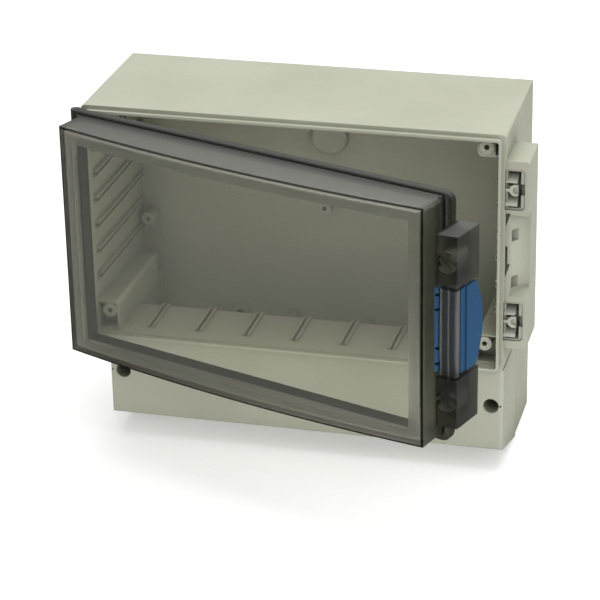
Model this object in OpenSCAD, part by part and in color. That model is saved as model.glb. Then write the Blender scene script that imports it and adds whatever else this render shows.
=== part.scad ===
// Wall-mounted ABS instrument enclosure.
// A grey moulded base holds a card shelf, card guides and a latch flange. A screwed cover
// closes the terminal space below the shelf. A smoked lid swings on two hinge pins at the
// left and is held by a rocking latch and two quarter-turn locks at the right.
//
// The mouldings are drawn with the rim in the plane y = 0, the wall behind them at
// y = body_d and the underside at z = 0. place() moves the origin to the middle of the
// wall face. Lid pieces are drawn shut, in u from the hinge axis and -y towards the front.

/* [Base box] */
// Width across the rim
body_w = 246; // [200:1:320]
// Height from the underside to the top
body_h = 209.5; // [190:0.5:260]
// Depth from the rim to the wall
body_d = 95; // [85:1:130]
// Thickness of the base walls
wall = 3.5; // [2.5:0.1:4.2]
// Taper of each side from the rim to the wall
side_draft = 1.3; // [0:0.1:2]
// Taper of the top from the rim to the wall
top_draft = 0.3; // [0:0.1:1]
// Rounding of the outer edges
edge_r = 2.5; // [1:0.1:3]

/* [Rim lip] */
// Thickness of the sealing lip
lip_t = 1.5; // [1:0.1:2]
// Height of the sealing lip in front of the rim
lip_h = 2.8; // [1.5:0.1:3]
// Distance of the lip from the outer sides and top
lip_inset = 2.3; // [1.6:0.1:3]
// Distance of the lip's underside below the shelf top
lip_drop = 2.1; // [1.6:0.1:2.6]

/* [Shelf and terminal space] */
// Height of the shelf top
shelf_z = 68.5; // [60:0.5:80]
// Thickness of the shelf
shelf_t = 3; // [2:0.1:4]
// Depth of the shelf behind the rim
shelf_d = 42; // [30:1:46]
// Step of the lower box inside the left side
step_in = 8.8; // [5:0.1:12]
// Depth of the seam between the cover and the lower box
seam_y = 49; // [47:0.5:60]
// Number of card slots on the shelf
slot_count = 7; // [3:1:9]
// Pitch of the card slots
slot_pitch = 29.2; // [20:0.1:30]
// Sideways place of the middle card slot
slot_row_x = -2; // [-6:0.5:6]
// Start of the card slots behind the rim
slot_y = 10; // [6:0.5:16]

/* [Card ridges] */
// Number of card guides on each side wall
guide_count = 6; // [2:1:6]
// Pitch of the card guides
guide_pitch = 16; // [12:0.1:16]
// Height of the lowest card guide
guide_z = 101.5; // [98:0.5:108]
// Start of the side guides behind the rim
guide_y = 6; // [4:0.5:20]
// Thickness of one ridge
ridge_t = 1.2; // [0.8:0.1:1.4]
// Height of a ridge above its wall
ridge_h = 1.6; // [1:0.1:2.5]
// Gap between the two ridges of a guide
card_gap = 2; // [1.2:0.1:2.4]
// Depth of the card grooves in the shelf
slot_sink = 0.8; // [0.4:0.1:1.2]

/* [Bosses] */
// Width of the corner blocks inside the side walls
block_w = 13; // [11:0.5:16]
// Height of the lower corner blocks above the shelf
block_h = 18; // [14:0.5:22]
// Height of the upper corner blocks below the roof
block_drop = 11; // [9:0.5:16]
// Depth of the corner blocks
block_d = 76; // [40:1:80]
// Setback of the block faces behind the rim
block_y = 3; // [1:0.5:6]
// Diameter of the corner bosses
boss_d = 8.4; // [6:0.1:9]
// Screw hole in the bosses
boss_hole_d = 3; // [2:0.1:4]
// Depth of the boss screw holes
boss_hole_depth = 16; // [8:1:30]
// Depth of the recesses round the corner bosses
block_recess = 9; // [4:0.5:14]
// Wall round the recesses of the corner blocks
block_wall = 1.2; // [1:0.1:1.6]
// Height of the side bosses of the back wall
back_boss_z = 108; // [95:1:120]
// Length of the side bosses of the back wall
back_boss_h = 12; // [6:0.5:16]
// Height of the middle boss of the back wall
mid_boss_z = 121.5; // [110:0.5:140]
// Length of the middle boss of the back wall
mid_boss_h = 6; // [3:0.5:10]

/* [Wall fixing] */
// Spacing of the lower wall holes
fix_span = 115; // [80:1:150]
// Height of the lower wall holes
fix_z = 46; // [20:0.5:55]
// Diameter of the lower wall holes
fix_d = 5; // [4:0.1:6]
// Collar round a lower wall hole
fix_collar_d = 10; // [8:0.1:14]
// Diameter of the rail posts beside the lower wall holes
post_d = 6; // [5:0.1:7]
// Pitch of the rail posts
post_pitch = 46.5; // [44:0.5:48]
// Length of the rail posts
post_l = 4; // [2:0.5:4]
// Height of the keyhole slot's top
keyhole_z = 170; // [150:0.5:185]
// Diameter of the keyhole for the screw head
keyhole_d = 10; // [8:0.1:12]
// Width of the keyhole slot
keyhole_w = 5.2; // [4:0.1:6]
// Length of the keyhole slot
keyhole_l = 8; // [6:0.1:10]
// Diameter of the dome that closes the keyhole inside
dome_d = 23; // [21:0.5:28]
// Height of the dome inside the back wall
dome_h = 3.5; // [3:0.1:6]

/* [Terminal cover] */
// Setback of the cover front behind the rim
cover_y = 1; // [0.5:0.1:3]
// Height of the cover's front lower edge
cover_rise = 14.5; // [8:0.5:24]
// Thickness of the cover walls
cover_wall = 3; // [2:0.1:3.5]
// Gap between the cover and the shelf
cover_gap = 0.1; // [0.1:0.05:0.6]
// Thickness of the seam gasket
seam_t = 0.6; // [0.4:0.1:1]
// Inset of the seam gasket from the outside
seam_inset = 0.8; // [0.4:0.1:1.2]
// Height of the cover screws
screw_z = 42.5; // [30:0.5:52]
// Distance of the cover screws from the cover's sides
screw_in = 7.6; // [7:0.1:12]
// Diameter of the screw wells
well_d = 9.1; // [8.6:0.1:10]
// Wall of the screw wells
well_wall = 1.6; // [1.2:0.1:2.2]
// Depth of the screw wells' ends behind the rim
well_y = 45; // [40:0.5:46]
// Diameter of the base spigots that meet the screw wells
spigot_d = 6; // [5.5:0.1:6.2]
// Thickness of the screw seats
seat_t = 3; // [2:0.1:4]
// Diameter of the cover screws
screw_d = 3.9; // [3:0.1:4]
// Diameter of the screw heads
screw_head_d = 7; // [6:0.1:7.4]
// Height of the screw heads
screw_head_h = 2.8; // [2:0.1:3.4]
// Length of the screw shanks
screw_l = 16; // [10:0.5:20]
// Thickness of the screw washers
washer_t = 0.8; // [0.5:0.1:1.2]
// Diameter of the screw washers
washer_d = 8; // [7.6:0.1:8.2]
// Diameter of the seal wire holes
wire_d = 1.2; // [0.8:0.1:1.6]

/* [Hinge] */
// Distance of the hinge axis outside the left side
hinge_out = 1.8; // [1.5:0.1:3]
// Distance of the hinge axis in front of the rim
hinge_fwd = 3.2; // [3.1:0.1:4]
// Angle at which the lid stands open
lid_open = 18.8; // [0:0.1:120]
// Radius of the hinge knuckles
knuckle_r = 3; // [2.6:0.1:3.2]
// Length of a knuckle
knuckle_l = 12; // [8:0.5:18]
// Gap between knuckles
knuckle_gap = 0.4; // [0.3:0.1:0.8]
// Distance of the outer knuckles from the lid's top and bottom
knuckle_end = 0.8; // [0:0.1:6]
// Diameter of the hinge pins
hinge_pin_d = 3; // [2:0.1:3.4]

/* [Lid] */
// Depth of the lid in front of the hinge axis
lid_d = 23; // [20:0.5:40]
// Thickness of the lid walls and window
lid_wall = 3; // [2:0.1:3.2]
// Thickness of the lid flange
flange_t = 4.5; // [4:0.1:5.5]
// Overhang of the lid flange past the base's right side
flange_over = 2.2; // [1.5:0.1:4]
// Distance of the flange top below the base top
flange_drop = 0.8; // [0:0.1:1]
// Distance of the flange underside below the shelf top
flange_below = 4.6; // [4:0.1:6]
// Corner radius of the flange
flange_r = 5; // [3:0.5:6]
// Inset of the raised window from the right flange edge
skirt_in = 6; // [5.5:0.1:7]
// Inset of the raised window from the hinge axis
skirt_left = 4.9; // [4.6:0.1:6]
// Inset of the raised window from the upper and lower flange edges
skirt_in_z = 2.4; // [2:0.1:3]
// Taper of the raised window
skirt_draft = 0.4; // [0:0.1:1]
// Depth of the gasket groove
groove_d = 2; // [1.5:0.1:2.5]
// Clearance of the gasket groove outside the lip
groove_out = 0.2; // [0.1:0.1:0.4]
// Clearance of the gasket groove inside the lip
groove_in = 0.9; // [0.4:0.1:1]
// Height of the gasket above its groove
seal_proud = 0.2; // [0.1:0.1:0.3]

/* [Latch] */
// Height of the latch's middle
latch_z = 137; // [134:0.5:140]
// Height of the latch flange on the base
flange_len = 114; // [112:1:118]
// Overhang of the latch flange past the side
latch_flange_w = 12.9; // [12.4:0.1:13.2]
// Setback of the latch flange behind the rim
latch_flange_y = 1.5; // [1.3:0.1:2]
// Depth of the latch flange
latch_flange_d = 33; // [26:1:44]
// Length of the finger scoop
scoop_len = 49.5; // [49:0.5:51]
// Radius of the finger scoop
scoop_r = 9.4; // [9:0.1:9.6]
// Rise of the ramp at the scoop's lower end
scoop_ramp = 3.2; // [2:0.1:3.4]
// Width of the strike ribs beside the scoop
strike_w = 2.4; // [2:0.1:2.6]
// Thickness of the strike ribs
strike_t = 3; // [2.6:0.1:3.2]
// Length of a strike rib, with its slanted end
strike_l = 19; // [18:0.5:20]
// Length of the slanted end of a strike rib
strike_slant = 7; // [5:0.5:8]
// Height of the handle
handle_h = 48.4; // [46:0.1:48.6]
// Step of the paddle's face outside the channel
paddle_step = 0.9; // [0.4:0.1:1.2]
// Distance of the pivot in front of the hinge axis plane
pivot_w = 11.2; // [11:0.1:11.4]
// Diameter of the latch pivot pin
latch_pin_d = 3; // [2:0.1:3.2]
// Depth of the pin's ends in the lock housings
latch_pin_in = 3; // [1.5:0.1:4]
// Clearance round the cross bar
bar_gap = 1.1; // [1:0.1:1.3]
// Width of the cross bar
bar_w = 10.4; // [10:0.1:10.4]
// Thickness of the cross bar
bar_t = 4.6; // [4:0.1:4.8]
// Setback of the cross bar behind the housing fronts
bar_sink = 0.7; // [0.4:0.1:1]
// Depth of the groove along the cross bar
bar_groove = 1.2; // [0.8:0.1:1.4]
// Length of the raised middle of the cross bar
bar_mid_l = 31; // [24:0.5:36]
// Step of the raised middle of the cross bar
bar_step = 0.3; // [0.1:0.1:0.5]
// Thickness of the handle's paddle
paddle_t = 2.4; // [2:0.1:2.6]
// Bulge of the paddle's rear edge behind the hinge axis plane
paddle_back = 6.9; // [5:0.1:7.2]
// Thickness of the handle's jaw
jaw_t = 2.6; // [2:0.1:2.8]
// Width and height of the marks in the jaw
jaw_mark = 1.8; // [1.2:0.1:2.2]
// Length of each hook
hook_l = 6; // [5:0.5:9]
// Distance between the hooks' middles
hook_span = 28.5; // [27:0.5:29]
// Distance of the hooks' middle below the latch's middle
hook_drop = 3.25; // [2.75:0.25:3.5]
// Height of a hook's nose
hook_nose = 2.8; // [2.6:0.1:3]
// Thickness of a hook
hook_t = 3; // [2.5:0.1:3.2]
// Clearance between hook and strike
hook_gap = 0.5; // [0.4:0.1:0.8]

/* [Locks] */
// Distance between the two locks
lock_span = 80; // [79:0.2:81]
// Distance of the lock axes outside the right side
lock_out = 8.6; // [8.4:0.1:8.8]
// Width of a lock housing
house_w = 12; // [11.8:0.1:12.4]
// Height of a lock housing
house_h = 28.8; // [28:0.2:29.4]
// Outward shift of each housing from its lock axis
house_shift = 1; // [0:0.1:1.5]
// Front of the housings before the hinge axis plane
house_front = 21.5; // [21.2:0.1:21.8]
// Slope of the housing fronts
house_slant = 2; // [0:0.1:2]
// Reach of the housings behind the hinge axis plane
house_back = 3; // [1:0.1:3.2]
// Wall of the housings
house_wall = 1.5; // [1.2:0.1:1.8]
// Width of the rib across a housing
house_rib = 1.2; // [0.8:0.1:1.6]
// Diameter of the lock wells
lock_well_d = 11.8; // [11:0.1:11.8]
// Depth of a lock head below the housing front
lock_sink = 1.4; // [1:0.1:2]
// Diameter of the lock heads
lock_head_d = 11; // [9:0.1:11.2]
// Height of the lock heads
lock_head_h = 10; // [8:0.1:11]
// Diameter of the lock shafts
lock_shaft_d = 4.4; // [4:0.1:4.6]
// Diameter of the neck at a lock's tip
neck_d = 2.8; // [2.4:0.1:3]
// Reach of the lock tips behind the latch flange's face
lock_reach = 3.5; // [3.4:0.1:4]
// Width of the screwdriver slot
lock_slot_w = 2; // [1:0.1:2.4]
// Depth of the screwdriver slot
lock_slot_d = 2.2; // [0.8:0.1:3]
// Radius of the bayonet tab
tab_r = 3; // [2.8:0.1:3.2]
// Width and thickness of the bayonet tab
tab_t = 2; // [1.6:0.1:2]
// Thickness of the sealing rings under the lock heads
ring_t = 0.8; // [0.5:0.1:1.2]
// Thickness of the shaft retainers
retainer_t = 1.2; // [0.8:0.1:1.6]
// Distance of the clips' middles outside the right side
clip_out = 5; // [5:0.1:5.3]
// Width of the clip pockets
pocket_w = 11; // [10.8:0.1:11]
// Height of the clip pockets
pocket_h = 24.2; // [23:0.2:25]
// Depth of the clip pockets
pocket_d = 14; // [10:0.5:16]
// Clearance of the clips in their pockets
clip_gap = 0.2; // [0.1:0.05:0.3]
// Setback of the clip frames in their pockets
clip_sink = 0.8; // [0.5:0.1:1.5]
// Wall of the clip frames
clip_wall = 1; // [0.8:0.1:1.2]
// Rounding of the pockets' outer corners
pocket_r = 2.6; // [1:0.1:3]
// Gap between a clip's claw and its outer wall
clip_slot = 1.4; // [1:0.1:1.6]
// Thickness of a clip's claw
claw_t = 2; // [1.8:0.1:2.2]
// Reach of the claw and blocks in front of the latch flange's face
claw_fwd = 0.8; // [0.6:0.1:1.2]

/* [Clearances] */
// Fixed pin in its hole, all round
press_gap = 0.02; // [0.01:0.01:0.05]
// Turning pin in its hole, all round
turn_gap = 0.15; // [0.08:0.01:0.3]
// Between faces that pass each other
run_gap = 0.4; // [0.3:0.05:0.6]

/* [Hidden] */
$fn = 48;
abs_grey = "#bfc0b0";
smoke = "#5d5f58";
latch_blue = "#2f5f8c";
seal_black = "#2b2b2b";
steel = "#b9bcc0";
clip_grey = "#d2d3cb";
eps = 0.01;

half_w = body_w / 2;
in_x = half_w - wall;
back_y = body_d - wall;
roof_z = body_h - wall;
shelf_under = shelf_z - shelf_t;
lip_x = half_w - lip_inset;
lip_top = body_h - lip_inset;
lip_bottom = shelf_z - lip_drop;
guide_w = 2 * ridge_t + card_gap;
boss_x = in_x - block_w + boss_d / 2 + 1;
block_top = shelf_z + block_h;
dome_z = keyhole_z - keyhole_l / 2;

hinge_x = -half_w - hinge_out;
hinge_y = -hinge_fwd;
flange_u = body_w + hinge_out + flange_over;
flange_top = body_h - flange_drop;
flange_bottom = shelf_z - flange_below;
skirt_top = flange_top - skirt_in_z;
skirt_bottom = flange_bottom + skirt_in_z;
skirt_right = flange_u - skirt_in;
knuckle_pitch = knuckle_l + knuckle_gap;
station_off = knuckle_end + knuckle_l + knuckle_pitch - knuckle_l / 2;
stations = [flange_top - station_off, flange_bottom + station_off];
hinge_pin_l = 2 * knuckle_pitch + knuckle_l - 2 * run_gap;
notch_u = knuckle_r + run_gap;

cover_top = shelf_under - cover_gap;
cover_back = seam_y - seam_t;
screw_xs = [lower_left(cover_y) + screw_in + 0.7, side_x(cover_y) - screw_in + 0.7];
screw_seat_y = well_y - seat_t;

lock_x = half_w + lock_out;
lock_u = lock_x - hinge_x;
lock_zs = [latch_z + lock_span / 2, latch_z - lock_span / 2];
house_u0 = lock_u + 0.2 - house_w / 2;
house_u1 = house_u0 + house_w;
house_root_u = flange_u - flange_t / 2;
house_floor = house_front - house_slant - lock_sink - lock_head_h - ring_t;
house_floor_t = 2.4;
lock_head_w = house_floor + ring_t;
tip_y = latch_flange_y + lock_reach;
tip_w = hinge_y - tip_y;
clip_x = half_w + clip_out;
pocket_y = latch_flange_y + pocket_d;
claw_y = latch_flange_y - claw_fwd;
claw_r = 3.4;

bar_u1 = house_u1 - 0.1;
bar_u0 = bar_u1 - bar_w;
bar_front = house_front - bar_sink;
bar_back = bar_front - bar_t;
pivot_u = (bar_u0 + bar_u1) / 2;
paddle_u1 = house_u1 + 0.2;
paddle_u0 = paddle_u1 - paddle_t;
web_front = bar_back - bar_gap - run_gap;
web_back = pivot_w - latch_pin_d / 2 - 1.2;
jaw_front = bar_front - 0.8;
jaw_u1 = bar_u0 - bar_gap;
jaw_u0 = jaw_u1 - jaw_t;
bar_z0 = lock_zs[1] - house_shift + house_h / 2;
bar_z1 = lock_zs[0] + house_shift - house_h / 2;
scoop_x = half_w + latch_flange_w - 0.9;
scoop_z0 = latch_z - scoop_len / 2;
scoop_z1 = latch_z + scoop_len / 2;
strike_x = half_w + strike_w;
strike_y = latch_flange_y + strike_t;
hook_swing = 0.8;
hook_front_w = hinge_y - strike_y - hook_gap - hook_swing;
hook_back_w = hook_front_w - 2.6;
hook_tip_u = strike_x - hinge_x + hook_gap;
hook_u = hook_tip_u + hook_nose;
hook_zs = [latch_z - hook_drop - hook_span / 2, latch_z - hook_drop + hook_span / 2];

// Outer right side of the base at a depth behind the rim
function side_x(y) = half_w - side_draft * y / body_d;
// Outer left side of the lower box and the cover at a depth behind the rim
function lower_left(y) = step_in - side_x(y);
function unit(v) = v / norm(v);
function turned(v, a) = [v.x * cos(a) - v.y * sin(a), v.x * sin(a) + v.y * cos(a)];
// Points of one rounded corner b between its neighbours a and c
function corner(a, b, c, r, n = 6) =
    let (p = unit(a - b), q = unit(c - b), half = acos(p * q) / 2,
         centre = b + unit(p + q) * r / sin(half),
         start = b + p * r / tan(half) - centre,
         sweep = -sign(cross(p, q)) * (180 - 2 * half))
    [for (i = [0 : n]) centre + turned(start, sweep * i / n)];
// Outline from [x, y, radius] corners
function outline(c) =
    let (n = len(c), p = [for (k = c) [k.x, k.y]])
    [for (i = [0 : n - 1])
        each c[i].z > 0 ? corner(p[(i + n - 1) % n], p[i], p[(i + 1) % n], c[i].z) : [p[i]]];
// Corners of a rectangle with one radius
function rect(x0, x1, y0, y1, r = 0) = [[x0, y0, r], [x1, y0, r], [x1, y1, r], [x0, y1, r]];

function rect2(x0, x1, y0, y1) = [[x0, y0], [x1, y0], [x1, y1], [x0, y1]];

// Extrudes an (x, z) outline from y0 to y1
module along_y(y0, y1) translate([0, y1, 0]) rotate([90, 0, 0]) linear_extrude(y1 - y0) children();
// Extrudes a (y, z) outline from x0 to x1
module along_x(x0, x1) translate([x0, 0, 0]) rotate([90, 0, 90]) linear_extrude(x1 - x0) children();
// Extrudes an (x, y) outline from z0 to z1
module along_z(z0, z1) translate([0, 0, z0]) linear_extrude(z1 - z0) children();
// Round rod along y
module rod_y(x, z, y0, y1, d) translate([x, y1, z]) rotate([90, 0, 0]) cylinder(d = d, h = y1 - y0);
// Round rod along z
module rod_z(x, y, z0, z1, d) translate([x, y, z0]) cylinder(d = d, h = z1 - z0);
// Box between two corners
module block(x0, x1, y0, y1, z0, z1) translate([x0, y0, z0]) cube([x1 - x0, y1 - y0, z1 - z0]);
// Moulded box, full size at y0 and tapered towards y1
module moulded_box(x0, x1, z0, z1, y0, y1, dx, dz0, dz1, r) intersection() {
    along_z(z0, z1) polygon(outline([[x0, y0, 0], [x1, y0, 0], [x1 - dx, y1, r], [x0 + dx, y1, r]]));
    along_x(x0, x1) polygon(outline([[y0, z0, 0], [y1, z0 + dz0, r], [y1, z1 - dz1, r], [y0, z1, 0]]));
    along_y(y0, y1) polygon(outline(rect(x0, x1, z0, z1, r)));
}
module place() translate([0, -body_d, -body_h / 2]) children();
module on_lid() place() translate([hinge_x, hinge_y, 0]) rotate([0, 0, -lid_open]) children();
module both_sides() {
    children();
    mirror([1, 0, 0]) children();
}

// Base: the two stacked boxes before they are hollowed
module base_blocks() {
    moulded_box(-half_w, half_w, shelf_under, body_h, 0, body_d, side_draft, 0, top_draft, edge_r);
    moulded_box(lower_left(seam_y), side_x(seam_y), 0, shelf_z + 3 * edge_r, seam_y, body_d,
        side_draft * (1 - seam_y / body_d), 0, 0, edge_r);
}
module base_hollows() {
    moulded_box(-in_x, in_x, shelf_z, roof_z, -eps, back_y, side_draft, 0, top_draft, edge_r / 2);
    moulded_box(lower_left(seam_y) + wall, side_x(seam_y) - wall, wall, shelf_z + wall, shelf_d, back_y,
        side_draft / 2, 0, 0, edge_r / 2);
}
module rim_lip() along_y(-lip_h, wall / 2) difference() {
    polygon(outline(rect(-lip_x, lip_x, lip_bottom, lip_top, edge_r)));
    polygon(outline(rect(lip_t - lip_x, lip_x - lip_t, lip_bottom + lip_t, lip_top - lip_t, edge_r / 2)));
}
module card_guides() {
    for (k = [0 : slot_count - 1], side = [-1, 1])
        translate([slot_row_x + (k - (slot_count - 1) / 2) * slot_pitch
            + side * (card_gap + ridge_t) / 2 - ridge_t / 2, slot_y, shelf_z - eps])
            cube([ridge_t, shelf_d - slot_y, ridge_h + eps]);
    both_sides() for (k = [0 : guide_count - 1], side = [-1, 1])
        translate([in_x - ridge_h - side_draft, guide_y, guide_z + k * guide_pitch
            + side * (card_gap + ridge_t) / 2 - ridge_t / 2])
            cube([ridge_h + side_draft + eps, back_y - guide_y + eps, ridge_t]);
}
module card_grooves() for (k = [0 : slot_count - 1])
    translate([slot_row_x + (k - (slot_count - 1) / 2) * slot_pitch - card_gap / 2, slot_y,
        shelf_z - slot_sink])
        cube([card_gap, shelf_d - slot_y, slot_sink + ridge_h]);
module corner_blocks() both_sides() {
    along_y(block_y, block_y + block_d)
        polygon(outline([[in_x + eps, shelf_z - eps, 0], [in_x + eps, block_top, 0],
            [in_x - block_w, block_top, boss_d / 3], [in_x - block_w, shelf_z - eps, 0]]));
    along_y(block_y, block_y + block_d)
        polygon(outline([[in_x + eps, roof_z + eps, 0], [in_x - block_w, roof_z + eps, 0],
            [in_x - block_w, roof_z - block_drop, boss_d / 3], [in_x + eps, roof_z - block_drop, 0]]));
    for (z = [block_top - boss_d / 2 - 1, roof_z - boss_d / 2 - 1])
        rod_y(boss_x, z, block_y - 1, block_y + eps, boss_d);
}
module corner_recesses() both_sides() along_y(block_y - eps, block_y + block_recess) {
    difference() {
        polygon(rect2(in_x - block_w + block_wall, in_x - block_wall, shelf_z + block_wall,
            block_top - block_wall));
        translate([boss_x, block_top - boss_d / 2 - 1]) circle(d = boss_d);
    }
    polygon(rect2(boss_x + boss_d / 2 + block_wall / 2, in_x - block_wall / 2,
        roof_z - block_drop + block_wall, roof_z - block_wall));
}
module back_bosses() {
    both_sides() rod_y(boss_x, back_boss_z, back_y - back_boss_h, back_y + eps, boss_d);
    rod_y(slot_row_x, mid_boss_z, back_y - mid_boss_h, back_y + eps, boss_d);
    both_sides() rod_y(fix_span / 2, fix_z, back_y - dome_h, back_y + eps, fix_collar_d);
    for (k = [-1.5 : 1 : 1.5]) rod_y(k * post_pitch, fix_z, back_y - post_l, back_y + eps, post_d);
    translate([0, back_y, dome_z]) rotate([90, 0, 0]) rotate_extrude()
        polygon(outline([[0, -eps, 0], [dome_d / 2, -eps, 0], [dome_d / 2, dome_h, dome_h * 0.7],
            [0, dome_h, 0]]));
    for (x = screw_xs) {
        rod_y(x, screw_z, well_y + cover_gap, seam_y + eps, spigot_d);
        rod_y(x, screw_z, seam_y, back_y + eps, boss_d);
    }
}
module boss_holes() {
    both_sides() for (z = [block_top - boss_d / 2 - 1, roof_z - boss_d / 2 - 1])
        rod_y(boss_x, z, block_y - 2, block_y + boss_hole_depth, boss_hole_d);
    both_sides() rod_y(boss_x, back_boss_z, back_y - back_boss_h - eps, back_y, boss_hole_d);
    rod_y(slot_row_x, mid_boss_z, back_y - mid_boss_h - eps, back_y, boss_hole_d);
    for (x = screw_xs)
        rod_y(x, screw_z, well_y, screw_seat_y - washer_t + screw_l + 2, screw_d - 0.6);
}
module wall_fixings() {
    both_sides() rod_y(fix_span / 2, fix_z, back_y - dome_h - 1, body_d + 1, fix_d);
    entry_y = body_d - wall * 0.6;
    rod_y(0, keyhole_z - keyhole_l, entry_y - eps, body_d + 1, keyhole_d);
    rod_y(0, keyhole_z, entry_y - eps, body_d + 1, keyhole_w);
    block(-keyhole_w / 2, keyhole_w / 2, entry_y - eps, body_d + 1, keyhole_z - keyhole_l, keyhole_z);
    for (z = [keyhole_z - keyhole_l, keyhole_z])
        rod_y(0, z, back_y - dome_h + 1.5, entry_y, keyhole_d);
    block(-keyhole_d / 2, keyhole_d / 2, back_y - dome_h + 1.5, entry_y, keyhole_z - keyhole_l, keyhole_z);
}
module hinge_lugs() for (z = stations) {
    along_z(z - knuckle_l / 2, z + knuckle_l / 2) {
        translate([hinge_x, hinge_y]) circle(knuckle_r);
        polygon(outline([[hinge_x - knuckle_r, hinge_y, 0], [hinge_x + knuckle_r, hinge_y, 0],
            [wall / 2 - half_w, 0, 0], [wall / 2 - half_w, 9, 0], [-half_w, 9, 0],
            [hinge_x - knuckle_r, hinge_y + 5, 2]]));
    }
}
module latch_flange() difference() {
    moulded_box(half_w - wall / 2, half_w + latch_flange_w, latch_z - flange_len / 2,
        latch_z + flange_len / 2, latch_flange_y, latch_flange_y + latch_flange_d, 0.6, 0.6, 0.6, 1.6);
    finger_scoop();
    strike_cuts();
}
// Outline of a clip pocket, or of its clip with a gap all round
module pocket_outline(z, gap) {
    x0 = clip_x - pocket_w / 2 + gap;
    x1 = clip_x + pocket_w / 2 - gap;
    h = pocket_h / 2 - gap;
    polygon(outline([[x0, z - h, 0.4], [x1, z - h, pocket_r - gap], [x1, z + h, pocket_r - gap],
        [x0, z + h, 0.4]]));
}
module clip_pockets() for (z = lock_zs) along_y(-1, pocket_y) pocket_outline(z, 0);
module finger_scoop() difference() {
    along_z(scoop_z0, scoop_z1) translate([scoop_x, latch_flange_y]) circle(scoop_r);
    deep_y = latch_flange_y + scoop_r + eps;
    along_x(half_w, scoop_x + scoop_r) polygon([[latch_flange_y, scoop_z0 - 1], [latch_flange_y, scoop_z0],
        [deep_y, scoop_z0 + scoop_ramp], [deep_y, scoop_z0 - 1]]);
}
// Strike ribs: slanted upper ends, a slot between them and an undercut for each hook
module strike_cuts() {
    ends = [scoop_z0 + strike_l, scoop_z1];
    for (z = ends) along_y(latch_flange_y - 1, strike_y + eps)
        polygon([[half_w, z - strike_slant], [strike_x + eps, z], [strike_x + eps, z + 1],
            [half_w, z + 1]]);
    block(half_w, half_w + strike_w / 2, latch_flange_y - 1, strike_y + 1, ends[0], scoop_z1 - strike_l);
    for (z = hook_zs) block(half_w + 0.1, scoop_x - scoop_r / 2, strike_y,
        strike_y + 2.6 + 2 * hook_gap + hook_swing,
        z - hook_l / 2 - hook_gap, z + hook_l / 2 + hook_gap);
}
module base_shell() color(abs_grey) place() difference() {
    union() {
        difference() {
            union() {
                base_blocks();
                latch_flange();
                hinge_lugs();
            }
            base_hollows();
        }
        rim_lip();
        card_guides();
        corner_blocks();
        back_bosses();
    }
    boss_holes();
    corner_recesses();
    card_grooves();
    wall_fixings();
    clip_pockets();
    for (z = stations)
        rod_z(hinge_x, hinge_y, z - knuckle_l, z + knuckle_l, hinge_pin_d + 2 * press_gap);
}

// Terminal cover: one tray whose floor slopes up towards the front
module cover_side(y0, y1, inset) polygon(outline([[y0 + inset, cover_top + eps, 0],
    [y0 + inset, cover_rise + inset * 0.8, 2], [y1, inset, 0], [y1, cover_top + eps, 0]]));
module terminal_cover() color(abs_grey) place() difference() {
    union() {
        difference() {
            intersection() {
                along_x(-half_w, half_w) polygon(outline([[cover_y, cover_top, 0], [cover_y, cover_rise, 2],
                    [cover_back, 0, 0], [cover_back, cover_top, 0]]));
                along_z(0, shelf_z) polygon(outline([[lower_left(cover_y), cover_y, edge_r],
                    [side_x(cover_y), cover_y, edge_r], [side_x(cover_back), cover_back, 0],
                    [lower_left(cover_back), cover_back, 0]]));
            }
            intersection() {
                along_x(lower_left(seam_y) + cover_wall, side_x(seam_y) - cover_wall)
                    cover_side(cover_y, seam_y, cover_wall);
                block(-half_w, half_w, 0, seam_y, 0, shelf_z);
            }
        }
        intersection() {
            for (x = screw_xs) rod_y(x, screw_z, cover_y + 1, well_y, well_d + 2 * well_wall);
            block(lower_left(cover_back) + cover_wall / 2, side_x(cover_back) - cover_wall / 2,
                0, well_y, 0, cover_top);
        }
    }
    for (x = screw_xs) {
        rod_y(x, screw_z, cover_y - 1, screw_seat_y, well_d);
        rod_y(x, screw_z, cover_y, well_y + 1, screw_d + 2 * turn_gap);
    }
    for (x = [lower_left(cover_y) + cover_wall / 2, side_x(cover_y) - cover_wall / 2])
        rod_y(x, screw_z, cover_y - 1, cover_y + 2 * cover_wall, wire_d);
}
module cover_gasket() color(seal_black) place() along_y(cover_back, seam_y) difference() {
    polygon(outline(rect(lower_left(seam_y) + seam_inset, side_x(seam_y) - seam_inset, seam_inset,
        cover_top - seam_inset, edge_r)));
    polygon(rect2(lower_left(seam_y) + cover_wall, side_x(seam_y) - cover_wall, cover_wall, shelf_z));
}
module cover_screws() color(steel) place() for (x = screw_xs) {
    head_y = screw_seat_y - washer_t;
    difference() {
        rod_y(x, screw_z, head_y - screw_head_h, head_y, screw_head_d);
        for (a = [0, 90]) translate([x, head_y - screw_head_h, screw_z]) rotate([0, a, 0])
            cube([screw_head_d * 0.6, screw_head_h, 1], center = true);
    }
    rod_y(x, screw_z, head_y - eps, head_y + screw_l, screw_d - 0.6 - 2 * press_gap);
}
module cover_washers() color(seal_black) place() for (x = screw_xs) difference() {
    rod_y(x, screw_z, screw_seat_y - washer_t, screw_seat_y, washer_d);
    rod_y(x, screw_z, screw_seat_y - washer_t - 1, screw_seat_y + 1, screw_d);
}

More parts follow.
